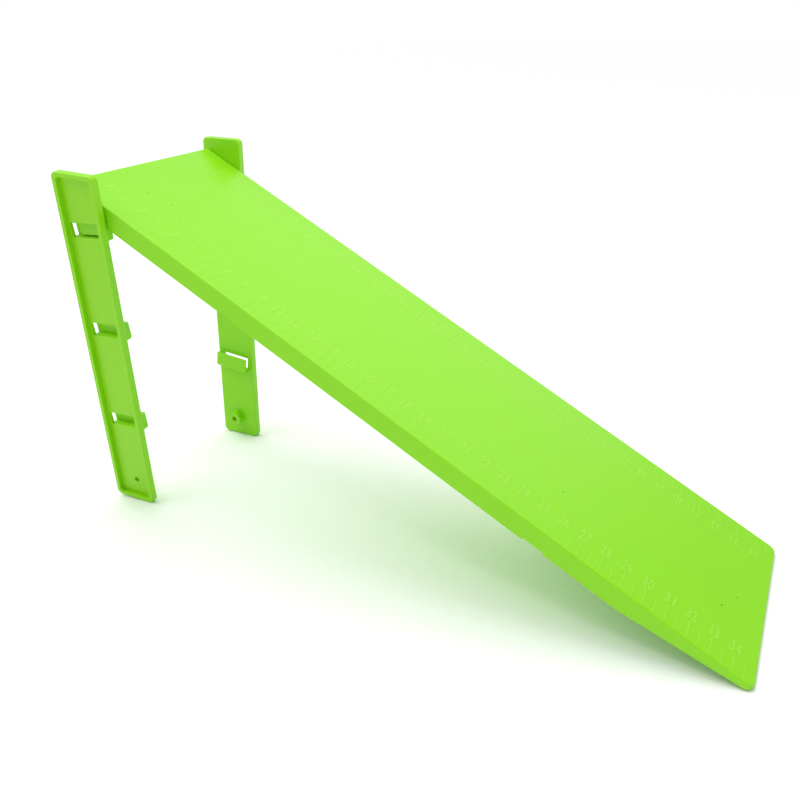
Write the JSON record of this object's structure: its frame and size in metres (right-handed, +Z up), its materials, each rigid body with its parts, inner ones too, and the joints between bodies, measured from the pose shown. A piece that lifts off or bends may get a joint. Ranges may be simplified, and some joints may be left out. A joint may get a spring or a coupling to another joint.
{
  "type": "science ramp",
  "caption": "Tabletop inclined plane: a moulded ruler-marked deck whose high end hangs in pockets on hook-on side legs, with a thin tapered lip at its low end.",
  "frame": {"origin": "on the floor, at the centre of the assembled ramp's bounding box", "axes": "+X runs downhill to the deck's low lip, +Y runs across the deck from the near leg to the far leg, +Z up"},
  "size_m": [0.3194, 0.112, 0.1764],
  "materials": {
    "deck_plastic": "semi-gloss lime green moulding",
    "leg_plastic": "semi-gloss lime green moulding"
  },
  "bodies": {
    "deck": {"ramp_deck": "deck_plastic"},
    "near_leg": {"near_support_leg": "leg_plastic"},
    "far_leg": {"far_support_leg": "leg_plastic"}
  },
  "joints": [
    {"name": "near_leg_lift_off", "type": "slide", "parent": "deck", "child": "near_leg", "axis": [-0.0628, 0.1216, -0.9906], "range_m": [0, 0.01]},
    {"name": "far_leg_lift_off", "type": "slide", "parent": "deck", "child": "far_leg", "axis": [-0.0227, 0, -0.9997], "range_m": [0, 0.01]}
  ]
}
